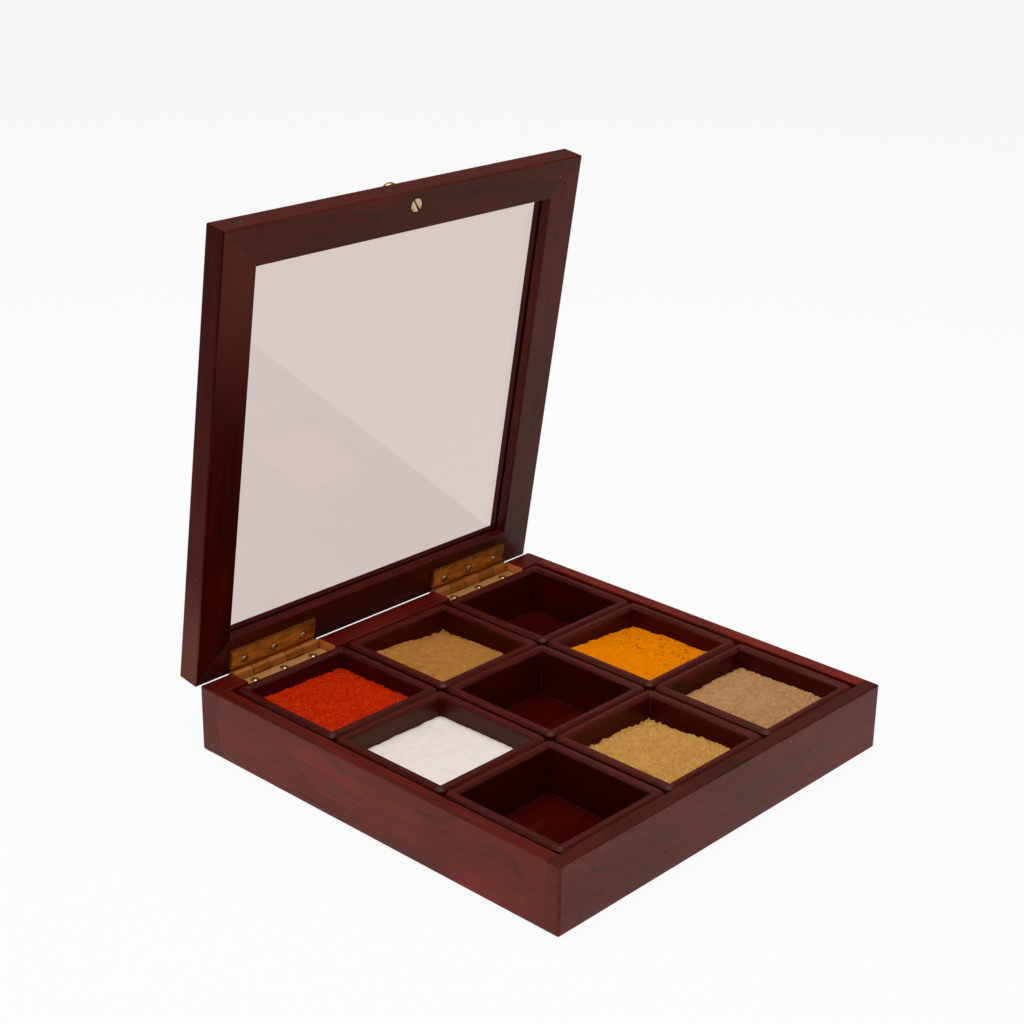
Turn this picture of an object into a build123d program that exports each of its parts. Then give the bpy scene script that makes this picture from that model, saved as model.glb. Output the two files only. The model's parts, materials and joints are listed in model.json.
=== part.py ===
"""Wooden spice box: nine lift-out trays under a glazed lid on two brass butt hinges.

Frame: origin under the middle of the box, +X to the right along the front, +Y to the
back, where the hinges are, and +Z up.  Millimetres throughout.  Every piece is drawn
with the lid shut; the lid and what it carries are then swung open about the hinge axis.
"""

import os

from build123d import *

# ---------------------------------------------------------------- trays
TRAY_SIZE = 65.6            # outside, along both sides
TRAY_HEIGHT = 26.0
TRAY_WALL = 4.8
TRAY_BASE = 3.0
TRAY_CORNER_ROUND = 3.6     # upright corners
TRAY_EDGE_CHAMFER = 1.3     # rims, inside and out
TRAY_GAP_X = 2.0            # between trays, and from tray to box wall, across the box
TRAY_GAP_Y = 0.6            # the same, from front to back
TRAYS_PER_SIDE = 3

# ---------------------------------------------------------------- box
WALL = 7.0                  # front and side boards
PANEL = 6.0                 # bottom panel
RABBET = 3.0                # how far the panel reaches under each wall
BOX_CORNER_ROUND = 1.2
FOOT_ROUND = 1.0
RIM_ROUND = 0.6

# ---------------------------------------------------------------- lid
LID_GAP = 0.3               # daylight between the rim and the shut lid
LID_OVERHANG = 0.5          # past the box, front and back
LID_THICKNESS = 11.5
RAIL_WIDTH = 18.8
LID_CORNER_ROUND = 0.8
LID_EDGE_ROUND = 0.7
OPENING_EDGE_ROUND = 0.6
GLASS_THICKNESS = 3.0
GLASS_SET_IN = 5.0          # from the lid's underside up to the glass
GROOVE_DEPTH = 5.0          # from the opening's edge into the rails
GLASS_PLAY = 0.5            # glass edge to groove bottom
LID_OPEN_ANGLE = 81.3       # how far the lid stands open

# ---------------------------------------------------------------- hinges
HINGE_FROM_SIDE = 19.0      # box side to the hinge's near end
HINGE_LENGTH = 50.8
LEAF_WIDTH = 12.7           # pin axis to the leaf's far edge
LEAF_THICKNESS = 1.8
BARREL_RADIUS = 3.0
BARREL_BEHIND_LID = 0.0     # pin axis behind the shut lid's back edge
KNUCKLES = 5
KNUCKLE_GAP = 0.2
NOTCH_CLEARANCE = 0.25      # plate to the other leaf's knuckles
PIN_RADIUS = 1.4
PIN_PLAY = 0.05
PIN_HEAD_RADIUS = 1.9
PIN_HEAD_LENGTH = 0.6
MORTISE_END_GAP = 0.9       # past each end of the leaf, and past the pin's spread end

# ---------------------------------------------------------------- screws, knob, nails
HINGE_SCREW_SPACING = 17.7
HINGE_SCREWS_PER_LEAF = 3
HINGE_SCREW_FROM_PIN = 6.9
HINGE_SCREW_HEAD_RADIUS = 1.7
HINGE_SCREW_SHANK_RADIUS = 1.05
HINGE_SCREW_LENGTH = 9.0
HINGE_SCREW_SLOT_WIDTH = 0.6
HINGE_SCREW_SLOT_DEPTH = 0.5
HINGE_SCREW_SLOT_TURN = 20.0
KNOB_HEIGHT = 9.0
KNOB_HEAD_RADIUS = 4.9
KNOB_NECK_RADIUS = 2.9
KNOB_FOOT_RADIUS = 3.9
KNOB_NECK_AT = 0.22         # heights and widths of the profile, as shares of the knob's
KNOB_BULGE_FROM = 0.45
KNOB_BULGE_START_WIDTH = 0.8
KNOB_WIDEST_AT = 0.68
KNOB_CAP_WIDTH = 0.72
KNOB_CAP_RISE = 0.08
KNOB_FROM_EDGE = 7.0        # knob axis to the lid's front edge
KNOB_SCREW_HEAD_RADIUS = 3.1
KNOB_SCREW_SHANK_RADIUS = 1.6
KNOB_SCREW_BITE = 5.0       # into the knob
KNOB_SCREW_SLOT_WIDTH = 1.1
KNOB_SCREW_SLOT_DEPTH = 1.1
KNOB_SCREW_SLOT_TURN = 55.0
BRAD_RADIUS = 0.75          # lost-head nails, as wide at the head as along the wire
BRAD_LENGTH = 18.0
BRAD_FROM_RIM = 9.0         # upper nail of each corner joint
BRAD_SPACING = 12.0         # down to the lower one
STAPLE_WIDTH = 7.0
STAPLE_LEG = 12.0
STAPLE_WIRE = 1.1
STAPLE_FROM_CORNER = 12.5

# ---------------------------------------------------------------- spice heaps
# Heap name: (row, column, rim of the tray down to the heap's edge, and down to its crown)
HEAPS = {
    "red_chilli_heap": ("back", "left", 8.5, 7.0),
    "tan_spice_heap": ("back", "middle", 10.0, 6.5),
    "turmeric_heap": ("middle", "right", 9.5, 6.0),
    "salt_heap": ("middle", "left", 10.0, 9.0),
    "ginger_heap": ("front", "middle", 10.0, 6.5),
    "brown_spice_heap": ("front", "right", 8.5, 6.0),
}
CROWN_SHARE = 0.35          # width of a heap's flat crown over the tray's inside

# ---------------------------------------------------------------- worked-out sizes
TRAY_INSIDE = TRAY_SIZE - 2 * TRAY_WALL
TRAY_FLOOR = PANEL + TRAY_BASE
TRAY_TOP = PANEL + TRAY_HEIGHT
INSIDE_WIDTH = TRAYS_PER_SIDE * TRAY_SIZE + (TRAYS_PER_SIDE + 1) * TRAY_GAP_X
INSIDE_DEPTH = TRAYS_PER_SIDE * TRAY_SIZE + (TRAYS_PER_SIDE + 1) * TRAY_GAP_Y
# The back board is as thick as the hinge leaves reach in, flush with its inner face.
BACK_WALL = LEAF_WIDTH - BARREL_BEHIND_LID - LID_OVERHANG
BOX_WIDTH = INSIDE_WIDTH + 2 * WALL
BOX_DEPTH = INSIDE_DEPTH + WALL + BACK_WALL
BOX_HEIGHT = TRAY_TOP       # the trays' rims lie level with the box's
INNER_FRONT = -BOX_DEPTH / 2 + WALL
INNER_BACK = BOX_DEPTH / 2 - BACK_WALL
INSIDE_MIDDLE_Y = (INNER_FRONT + INNER_BACK) / 2

LID_WIDTH = BOX_WIDTH
LID_DEPTH = BOX_DEPTH + 2 * LID_OVERHANG
LID_UNDERSIDE = BOX_HEIGHT + LID_GAP
LID_TOP = LID_UNDERSIDE + LID_THICKNESS
LID_MIDDLE_Z = LID_UNDERSIDE + LID_THICKNESS / 2
OPENING_WIDTH = LID_WIDTH - 2 * RAIL_WIDTH
OPENING_DEPTH = LID_DEPTH - 2 * RAIL_WIDTH
GLASS_UNDERSIDE = LID_UNDERSIDE + GLASS_SET_IN

HINGE_Y = LID_DEPTH / 2 + BARREL_BEHIND_LID
HINGE_Z = LID_UNDERSIDE - BARREL_RADIUS
HINGE_AXIS = Axis((0, HINGE_Y, HINGE_Z), (-1, 0, 0))
HINGE_MIDDLE_X = BOX_WIDTH / 2 - HINGE_FROM_SIDE - HINGE_LENGTH / 2
HINGE_SIDES = {"left": -HINGE_MIDDLE_X, "right": HINGE_MIDDLE_X}
KNUCKLE_LENGTH = (HINGE_LENGTH - (KNUCKLES - 1) * KNUCKLE_GAP) / KNUCKLES
MORTISE_FLOOR = HINGE_Z - BARREL_RADIUS
BOX_LEAF_TOP = MORTISE_FLOOR + LEAF_THICKNESS
LID_LEAF_UNDERSIDE = LID_UNDERSIDE - LEAF_THICKNESS
KNOB_Y = -LID_DEPTH / 2 + KNOB_FROM_EDGE

ROWS = ("front", "middle", "back")
COLUMNS = ("left", "middle", "right")
TRAY_X = {name: (index - 1) * (TRAY_SIZE + TRAY_GAP_X) for index, name in enumerate(COLUMNS)}
TRAY_Y = {
    name: INSIDE_MIDDLE_Y + (index - 1) * (TRAY_SIZE + TRAY_GAP_Y)
    for index, name in enumerate(ROWS)
}

os.makedirs("parts", exist_ok=True)


def save(piece, name):
    """Label a finished piece and write it to its own file."""
    piece.part.label = name
    export_step(piece.part, f"parts/{name}.step")


def save_on_lid(piece, name):
    """Swing a piece of the shut lid open about the hinge axis, then write it."""
    piece.part = piece.part.rotate(HINGE_AXIS, LID_OPEN_ANGLE)
    save(piece, name)


# ================================================================ fasteners
def countersunk_screw(head_radius, shank_radius, length):
    """A countersunk screw pointing down, with the top of its head at the origin."""
    head_height = head_radius - shank_radius
    with BuildPart() as screw:
        with BuildSketch(Plane.XZ):
            with BuildLine():
                Polyline(
                    (0, 0),
                    (head_radius, 0),
                    (shank_radius, -head_height),
                    (shank_radius, -length),
                    (0, -length),
                    close=True,
                )
            make_face()
        revolve(axis=Axis.Z)
    return screw


hinge_screw = countersunk_screw(
    HINGE_SCREW_HEAD_RADIUS, HINGE_SCREW_SHANK_RADIUS, HINGE_SCREW_LENGTH
)
SCREW_Y = HINGE_Y - HINGE_SCREW_FROM_PIN
SCREW_X = [
    side + (index - (HINGE_SCREWS_PER_LEAF - 1) / 2) * HINGE_SCREW_SPACING
    for side in HINGE_SIDES.values()
    for index in range(HINGE_SCREWS_PER_LEAF)
]

POINTING_UP = (180, 0, 0)
with BuildPart() as box_hinge_screws:
    with Locations(*[(x, SCREW_Y, BOX_LEAF_TOP) for x in SCREW_X]):
        add(hinge_screw.part)

with BuildPart() as lid_hinge_screws:
    with Locations(*[Location((x, SCREW_Y, LID_LEAF_UNDERSIDE), POINTING_UP) for x in SCREW_X]):
        add(hinge_screw.part)

# The knob's screw comes up through the front rail from inside the lid.
knob_screw_blank = countersunk_screw(
    KNOB_SCREW_HEAD_RADIUS, KNOB_SCREW_SHANK_RADIUS, LID_THICKNESS + KNOB_SCREW_BITE
)
with BuildPart() as knob_screw:
    with Locations(Location((0, KNOB_Y, LID_UNDERSIDE), POINTING_UP)):
        add(knob_screw_blank.part)

# Wire nails through the front and back boards into the ends of the side boards.
FROM_FRONT = (-90, 0, 0)
FROM_BACK = (90, 0, 0)
corner_x = BOX_WIDTH / 2 - WALL / 2
corner_heights = (BOX_HEIGHT - BRAD_FROM_RIM, BOX_HEIGHT - BRAD_FROM_RIM - BRAD_SPACING)
brad_places = []
for direction in (-1, 1):
    for z in corner_heights:
        brad_places.append(Location((direction * corner_x, -BOX_DEPTH / 2, z), FROM_FRONT))
        brad_places.append(Location((direction * corner_x, BOX_DEPTH / 2, z), FROM_BACK))

FROM_HEAD = (Align.CENTER, Align.CENTER, Align.MIN)
with BuildPart() as box_brads:
    with Locations(*brad_places):
        Cylinder(BRAD_RADIUS, BRAD_LENGTH, align=FROM_HEAD)

# Staples across the lid's mitres, driven into the front and back edges.
with BuildPart() as lid_staples:
    with BuildSketch(Plane.XY.offset(LID_MIDDLE_Z - STAPLE_WIRE / 2)):
        for x in (STAPLE_FROM_CORNER - LID_WIDTH / 2, LID_WIDTH / 2 - STAPLE_FROM_CORNER):
            for direction in (-1, 1):
                edge_y = direction * LID_DEPTH / 2
                with Locations((x, edge_y - direction * STAPLE_LEG / 2)):
                    Rectangle(STAPLE_WIDTH, STAPLE_LEG)
                with Locations((x, edge_y - direction * (STAPLE_LEG / 2 + STAPLE_WIRE))):
                    Rectangle(STAPLE_WIDTH - 2 * STAPLE_WIRE, STAPLE_LEG, mode=Mode.SUBTRACT)
    extrude(amount=STAPLE_WIRE)

# ================================================================ box
# The four boards are shaped together as one frame and then parted at their joints, so
# that the rounded edges run on from board to board.
with BuildPart() as box_frame:
    with BuildSketch():
        Rectangle(BOX_WIDTH, BOX_DEPTH)
    extrude(amount=BOX_HEIGHT)
    fillet(box_frame.edges().filter_by(Axis.Z), BOX_CORNER_ROUND)
    fillet(box_frame.faces().sort_by(Axis.Z)[0].edges(), FOOT_ROUND)
    with BuildSketch():
        with Locations((0, INSIDE_MIDDLE_Y)):
            Rectangle(INSIDE_WIDTH, INSIDE_DEPTH)
    extrude(amount=BOX_HEIGHT, mode=Mode.SUBTRACT)
    fillet(box_frame.faces().sort_by(Axis.Z)[-1].edges(), RIM_ROUND)
    with BuildSketch():
        with Locations((0, INSIDE_MIDDLE_Y)):
            Rectangle(INSIDE_WIDTH + 2 * RABBET, INSIDE_DEPTH + 2 * RABBET)
    extrude(amount=PANEL, mode=Mode.SUBTRACT)

front_joint = Plane.XZ.offset(-INNER_FRONT)
back_joint = Plane.XZ.offset(-INNER_BACK)

# Plane.XZ faces the front, so its top side is the side nearer the front.
with BuildPart() as front_wall:
    add(box_frame.part)
    split(bisect_by=front_joint, keep=Keep.TOP)
    add(box_brads.part, mode=Mode.SUBTRACT)
save(front_wall, "front_wall")

with BuildPart() as back_wall:
    add(box_frame.part)
    split(bisect_by=back_joint, keep=Keep.BOTTOM)
    with BuildSketch(Plane.XY.offset(MORTISE_FLOOR)):
        with Locations(*[(side_x, BOX_DEPTH / 2) for side_x in HINGE_SIDES.values()]):
            Rectangle(HINGE_LENGTH + 2 * MORTISE_END_GAP, 3 * BACK_WALL)
    extrude(amount=BOX_HEIGHT - MORTISE_FLOOR, mode=Mode.SUBTRACT)
    add(box_hinge_screws.part, mode=Mode.SUBTRACT)
    add(box_brads.part, mode=Mode.SUBTRACT)
save(back_wall, "back_wall")

for side, kept in (("left", Keep.BOTTOM), ("right", Keep.TOP)):
    with BuildPart() as side_wall:
        add(box_frame.part)
        split(bisect_by=front_joint, keep=Keep.BOTTOM)
        split(bisect_by=back_joint, keep=Keep.TOP)
        split(bisect_by=Plane.YZ, keep=kept)
        add(box_brads.part, mode=Mode.SUBTRACT)
    save(side_wall, f"{side}_wall")

with BuildPart() as bottom_panel:
    with BuildSketch():
        with Locations((0, INSIDE_MIDDLE_Y)):
            Rectangle(INSIDE_WIDTH + 2 * RABBET, INSIDE_DEPTH + 2 * RABBET)
    extrude(amount=PANEL)
save(bottom_panel, "bottom_panel")

save(box_brads, "box_brads")

# ================================================================ lid
# The frame is shaped whole, grooved for the glass, and cut into four mitred rails.
with BuildPart() as lid_frame:
    with BuildSketch(Plane.XY.offset(LID_UNDERSIDE)):
        Rectangle(LID_WIDTH, LID_DEPTH)
    extrude(amount=LID_THICKNESS)
    fillet(lid_frame.edges().filter_by(Axis.Z), LID_CORNER_ROUND)
    fillet(lid_frame.faces().filter_by(Axis.Z).edges(), LID_EDGE_ROUND)
    with BuildSketch(Plane.XY.offset(LID_UNDERSIDE)):
        Rectangle(OPENING_WIDTH, OPENING_DEPTH)
    extrude(amount=LID_THICKNESS, mode=Mode.SUBTRACT)
    for face in lid_frame.faces().filter_by(Axis.Z):
        fillet(face.inner_wires()[0].edges(), OPENING_EDGE_ROUND)
    with BuildSketch(Plane.XY.offset(GLASS_UNDERSIDE)):
        Rectangle(OPENING_WIDTH + 2 * GROOVE_DEPTH, OPENING_DEPTH + 2 * GROOVE_DEPTH)
    extrude(amount=GLASS_THICKNESS, mode=Mode.SUBTRACT)

half_width = LID_WIDTH / 2
half_depth = LID_DEPTH / 2
RAIL_OUTLINES = {
    "front": [
        (-half_width, -half_depth),
        (half_width, -half_depth),
        (half_width - RAIL_WIDTH, -half_depth + RAIL_WIDTH),
        (-half_width + RAIL_WIDTH, -half_depth + RAIL_WIDTH),
    ],
    "right": [
        (half_width, -half_depth),
        (half_width, half_depth),
        (half_width - RAIL_WIDTH, half_depth - RAIL_WIDTH),
        (half_width - RAIL_WIDTH, -half_depth + RAIL_WIDTH),
    ],
}
RAIL_OUTLINES["back"] = [(-x, -y) for x, y in RAIL_OUTLINES["front"]]
RAIL_OUTLINES["left"] = [(-x, -y) for x, y in RAIL_OUTLINES["right"]]

for side, outline in RAIL_OUTLINES.items():
    with BuildPart() as rail:
        add(lid_frame.part)
        with BuildSketch(Plane.XY.offset(LID_UNDERSIDE)):
            with BuildLine():
                Polyline(*outline, close=True)
            make_face()
        extrude(amount=LID_THICKNESS, mode=Mode.INTERSECT)
        add(lid_staples.part, mode=Mode.SUBTRACT)
        add(lid_hinge_screws.part, mode=Mode.SUBTRACT)
        add(knob_screw.part, mode=Mode.SUBTRACT)
    save_on_lid(rail, f"lid_{side}_rail")

# The screw's hole is drilled; now its head gets its slot.
with knob_screw:
    with BuildSketch(Plane.XY.offset(LID_UNDERSIDE)):
        with Locations(Location((0, KNOB_Y, 0), (0, 0, KNOB_SCREW_SLOT_TURN))):
            Rectangle(2 * KNOB_SCREW_HEAD_RADIUS, KNOB_SCREW_SLOT_WIDTH)
    extrude(amount=KNOB_SCREW_SLOT_DEPTH, mode=Mode.SUBTRACT)
save_on_lid(knob_screw, "knob_screw")

with BuildPart() as glass_pane:
    with BuildSketch(Plane.XY.offset(GLASS_UNDERSIDE)):
        Rectangle(
            OPENING_WIDTH + 2 * (GROOVE_DEPTH - GLASS_PLAY),
            OPENING_DEPTH + 2 * (GROOVE_DEPTH - GLASS_PLAY),
        )
    extrude(amount=GLASS_THICKNESS)
save_on_lid(glass_pane, "glass_pane")

# Above the widest part the knob closes in to a shallow cap, part of a ball.
knob_cap_rim = KNOB_CAP_WIDTH * KNOB_HEAD_RADIUS
knob_cap_rise = KNOB_CAP_RISE * KNOB_HEIGHT
knob_cap_radius = (knob_cap_rim**2 + knob_cap_rise**2) / (2 * knob_cap_rise)
knob_top = LID_TOP + KNOB_HEIGHT
with BuildPart() as knob:
    with BuildSketch(Plane.XZ.offset(-KNOB_Y)):
        with BuildLine():
            foot = Line((0, LID_TOP), (KNOB_FOOT_RADIUS, LID_TOP))
            waist = ThreePointArc(
                foot @ 1,
                (KNOB_NECK_RADIUS, LID_TOP + KNOB_NECK_AT * KNOB_HEIGHT),
                (
                    KNOB_BULGE_START_WIDTH * KNOB_HEAD_RADIUS,
                    LID_TOP + KNOB_BULGE_FROM * KNOB_HEIGHT,
                ),
            )
            bulge = ThreePointArc(
                waist @ 1,
                (KNOB_HEAD_RADIUS, LID_TOP + KNOB_WIDEST_AT * KNOB_HEIGHT),
                (knob_cap_rim, knob_top - knob_cap_rise),
            )
            cap = RadiusArc(bulge @ 1, (0, knob_top), -knob_cap_radius)
            Line(cap @ 1, foot @ 0)
        make_face()
    revolve(axis=Axis((0, KNOB_Y, 0), (0, 0, 1)))
    with BuildSketch(Plane.XY.offset(LID_TOP)):
        with Locations((0, KNOB_Y)):
            Circle(KNOB_SCREW_SHANK_RADIUS)
    extrude(amount=KNOB_SCREW_BITE, mode=Mode.SUBTRACT)
save_on_lid(knob, "knob")

# ================================================================ hinges
BOX_KNUCKLES = range(0, KNUCKLES, 2)
LID_KNUCKLES = range(1, KNUCKLES, 2)


def hinge_leaf(side_x, plate_underside, other_knuckles, screws):
    """A leaf plate with its share of the barrel's knuckles, notched round the others."""
    barrel_start = side_x - HINGE_LENGTH / 2
    with BuildPart() as leaf:
        with BuildSketch(Plane.XY.offset(plate_underside)):
            with Locations((side_x, HINGE_Y - LEAF_WIDTH / 2)):
                Rectangle(HINGE_LENGTH, LEAF_WIDTH)
        extrude(amount=LEAF_THICKNESS)
        with BuildSketch(Plane.YZ.offset(barrel_start)):
            with Locations((HINGE_Y, HINGE_Z)):
                Circle(BARREL_RADIUS)
        extrude(amount=HINGE_LENGTH)
        for number in other_knuckles:
            knuckle_start = barrel_start + number * (KNUCKLE_LENGTH + KNUCKLE_GAP)
            with BuildSketch(Plane.YZ.offset(knuckle_start - KNUCKLE_GAP)):
                with Locations((HINGE_Y, HINGE_Z)):
                    notch = 2 * (BARREL_RADIUS + NOTCH_CLEARANCE)
                    Rectangle(notch, notch)
            extrude(amount=KNUCKLE_LENGTH + 2 * KNUCKLE_GAP, mode=Mode.SUBTRACT)
        with BuildSketch(Plane.YZ.offset(barrel_start)):
            with Locations((HINGE_Y, HINGE_Z)):
                Circle(PIN_RADIUS + PIN_PLAY)
        extrude(amount=HINGE_LENGTH, mode=Mode.SUBTRACT)
        add(screws.part, mode=Mode.SUBTRACT)
    return leaf


for side, side_x in HINGE_SIDES.items():
    box_leaf = hinge_leaf(side_x, MORTISE_FLOOR, LID_KNUCKLES, box_hinge_screws)
    save(box_leaf, f"{side}_box_leaf")
    lid_leaf = hinge_leaf(side_x, LID_LEAF_UNDERSIDE, BOX_KNUCKLES, lid_hinge_screws)
    save_on_lid(lid_leaf, f"{side}_lid_leaf")

    # The pin is held endways by its two spread ends.
    with BuildPart() as hinge_pin:
        with BuildSketch(Plane.YZ.offset(side_x)):
            with Locations((HINGE_Y, HINGE_Z)):
                Circle(PIN_RADIUS)
        extrude(amount=HINGE_LENGTH / 2, both=True)
        with BuildSketch(
            Plane.YZ.offset(side_x - HINGE_LENGTH / 2 - PIN_HEAD_LENGTH),
            Plane.YZ.offset(side_x + HINGE_LENGTH / 2),
        ):
            with Locations((HINGE_Y, HINGE_Z)):
                Circle(PIN_HEAD_RADIUS)
        extrude(amount=PIN_HEAD_LENGTH)
    save(hinge_pin, f"{side}_hinge_pin")

# Every hole is drilled; now the hinge screws get their slots.
for screws, head_top, inward in (
    (box_hinge_screws, BOX_LEAF_TOP, -1),
    (lid_hinge_screws, LID_LEAF_UNDERSIDE, 1),
):
    slot_turn = -inward * HINGE_SCREW_SLOT_TURN
    with screws:
        with BuildSketch(Plane.XY.offset(head_top)):
            with Locations(*[Location((x, SCREW_Y, 0), (0, 0, slot_turn)) for x in SCREW_X]):
                Rectangle(2 * HINGE_SCREW_HEAD_RADIUS, HINGE_SCREW_SLOT_WIDTH)
        extrude(amount=inward * HINGE_SCREW_SLOT_DEPTH, mode=Mode.SUBTRACT)

save(box_hinge_screws, "box_hinge_screws")
save_on_lid(lid_hinge_screws, "lid_hinge_screws")
save_on_lid(lid_staples, "lid_staples")

# ================================================================ trays
# One tray is made at the middle of the box's frame and set down nine times.
with BuildPart() as tray_walls:
    with BuildSketch(Plane.XY.offset(PANEL)):
        Rectangle(TRAY_SIZE, TRAY_SIZE)
    extrude(amount=TRAY_HEIGHT)
    fillet(tray_walls.edges().filter_by(Axis.Z), TRAY_CORNER_ROUND)
    with BuildSketch(Plane.XY.offset(PANEL)):
        Rectangle(TRAY_INSIDE, TRAY_INSIDE)
    extrude(amount=TRAY_HEIGHT, mode=Mode.SUBTRACT)
    chamfer(tray_walls.faces().sort_by(Axis.Z)[-1].edges(), TRAY_EDGE_CHAMFER)

# The side boards run the tray's full length and the end boards stand between them.
with BuildPart() as tray_sides:
    add(tray_walls.part)
    with BuildSketch(Plane.XY.offset(PANEL)):
        Rectangle(TRAY_INSIDE, TRAY_SIZE)
    extrude(amount=TRAY_HEIGHT, mode=Mode.SUBTRACT)

with BuildPart() as tray_ends:
    add(tray_walls.part)
    with BuildSketch(Plane.XY.offset(PANEL)):
        Rectangle(TRAY_INSIDE, TRAY_SIZE)
    extrude(amount=TRAY_HEIGHT, mode=Mode.INTERSECT)

with BuildPart() as tray_base:
    with BuildSketch(Plane.XY.offset(PANEL)):
        Rectangle(TRAY_INSIDE, TRAY_INSIDE)
    extrude(amount=TRAY_BASE)

TRAY_PIECES = {"sides": tray_sides, "ends": tray_ends, "base": tray_base}
for row, y in TRAY_Y.items():
    for column, x in TRAY_X.items():
        for piece_name, pattern in TRAY_PIECES.items():
            with BuildPart() as placed:
                with Locations((x, y)):
                    add(pattern.part)
            save(placed, f"{row}_{column}_tray_{piece_name}")

# ================================================================ spice heaps
for name, (row, column, edge_drop, crown_drop) in HEAPS.items():
    heap_edge = TRAY_TOP - edge_drop
    heap_crown = TRAY_TOP - crown_drop
    with BuildPart() as heap:
        with BuildSketch(Plane.XY.offset(TRAY_FLOOR)):
            with Locations((TRAY_X[column], TRAY_Y[row])):
                Rectangle(TRAY_INSIDE, TRAY_INSIDE)
        extrude(amount=heap_edge - TRAY_FLOOR)
        with BuildSketch(Plane.XY.offset(heap_edge)):
            with Locations((TRAY_X[column], TRAY_Y[row])):
                Rectangle(TRAY_INSIDE, TRAY_INSIDE)
        with BuildSketch(Plane.XY.offset(heap_crown)):
            with Locations((TRAY_X[column], TRAY_Y[row])):
                Rectangle(CROWN_SHARE * TRAY_INSIDE, CROWN_SHARE * TRAY_INSIDE)
        loft(ruled=True)
    save(heap, name)
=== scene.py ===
"""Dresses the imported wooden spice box: stained wood, glass, brass, screws and ground spice.

Lengths are in metres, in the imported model's frame: +X right, +Y back, +Z up, with the
origin under the middle of the box.  Material patterns are laid out in millimetres.
"""

import json
import math

import bpy
import numpy as np
from mathutils import Matrix, Vector

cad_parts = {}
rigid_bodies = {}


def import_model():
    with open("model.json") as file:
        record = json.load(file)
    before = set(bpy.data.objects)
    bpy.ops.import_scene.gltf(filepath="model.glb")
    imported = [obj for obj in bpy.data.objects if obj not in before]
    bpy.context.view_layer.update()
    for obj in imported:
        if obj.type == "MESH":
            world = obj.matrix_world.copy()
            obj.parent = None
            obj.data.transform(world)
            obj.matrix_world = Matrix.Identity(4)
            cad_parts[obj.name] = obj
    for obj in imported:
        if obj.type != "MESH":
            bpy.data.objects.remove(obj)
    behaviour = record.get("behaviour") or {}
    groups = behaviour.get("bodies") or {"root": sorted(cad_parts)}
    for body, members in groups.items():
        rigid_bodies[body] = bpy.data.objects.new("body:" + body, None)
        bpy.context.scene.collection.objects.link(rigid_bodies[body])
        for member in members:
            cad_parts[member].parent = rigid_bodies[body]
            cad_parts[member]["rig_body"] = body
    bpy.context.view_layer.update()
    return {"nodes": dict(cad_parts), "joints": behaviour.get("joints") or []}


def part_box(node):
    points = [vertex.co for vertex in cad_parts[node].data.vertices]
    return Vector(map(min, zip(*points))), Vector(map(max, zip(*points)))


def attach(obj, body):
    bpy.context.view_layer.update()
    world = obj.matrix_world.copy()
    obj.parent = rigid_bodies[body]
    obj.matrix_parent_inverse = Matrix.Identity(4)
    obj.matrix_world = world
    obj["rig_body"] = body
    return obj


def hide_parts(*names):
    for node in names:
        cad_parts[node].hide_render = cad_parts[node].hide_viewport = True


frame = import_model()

NODES = frame["nodes"]
MM = 0.001

# ================================================================ sizes, in millimetres
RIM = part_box("front_wall")[1].z / MM        # the height at which the walls and trays end
MORTISE_END = 1.1           # each hinge's mortise runs this far past the leaf's ends
MORTISE_DROP = 0.35         # and its bare wood this far below the leaf

# The hinges: the two are alike and as far from the middle of the box.
LEAF_LOW, LEAF_HIGH = (corner.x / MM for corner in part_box("right_box_leaf"))
LEAF_MIDDLE = (LEAF_LOW + LEAF_HIGH) / 2
LEAF_LENGTH = LEAF_HIGH - LEAF_LOW
BARREL_RADIUS = 3.0
KNUCKLES = 5
KNUCKLE_GAP = 0.2
KNUCKLE_PITCH = (LEAF_LENGTH + KNUCKLE_GAP) / KNUCKLES
SCREW_SPACING = 17.7
SCREW_FROM_PIN = 7.0        # from the pin's middle line to the middle of a screw's head
SCREW_HEAD_RADIUS = 1.7

# The lid, which is packed open.  Its wood's pattern is laid out on the shut lid, where
# the turn by LID_OPEN, in radians, and then the shift bring it.
LID_JOINT = next(joint for joint in frame["joints"] if joint["name"] == "lid_hinge")
PIN = Vector(LID_JOINT["pos_m"]) / MM       # a point on the hinge pins' middle line
LID_OPEN = math.radians(-LID_JOINT["range_deg"][0])
SHUT_SHIFT = PIN - Matrix.Rotation(LID_OPEN, 4, "X") @ PIN
LID_THICKNESS = 11.5
LID_MIDDLE = PIN.z + BARREL_RADIUS + LID_THICKNESS / 2      # its height when it is shut
LID_HALF_WIDTH = (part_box("lid_front_rail")[1].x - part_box("lid_front_rail")[0].x) / 2 / MM
LID_BACK_EDGE = PIN.y       # the lid's back edge is in line with the pins
SIDE_EDGE_SKIN = 0.3        # what lies within this of the lid's side edge is on the edge
STAPLE_FROM_SIDE = 12.5     # from the lid's side edge to the staple's middle
STAPLE_STAIN_HALF_WIDTH = 4.6
STAPLE_STAIN_HALF_HEIGHT = 2.0
KNOB_FROM_EDGE = 7.0        # from the lid's front edge to the knob's screw
KNOB_RING = (3.3, 5.0)      # where the darkening round the screw begins to fade, and its end

# The heaps of spice.
HEAP_STEP = 0.45            # from one point of a heap's surface to the next
HEAP_CLEARANCE = 0.02       # between a heap and the tray's walls
LUMP_SIZES = ((11.0, 1.0), (4.5, 0.6), (2.0, 0.35))     # with each one's share of the height
GRAIN_SIZE = 0.9            # of the roughness that the powder's own grains give
SMOOTH_TURMERIC = 22.0      # from the turmeric's left side to where its pits begin


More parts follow.
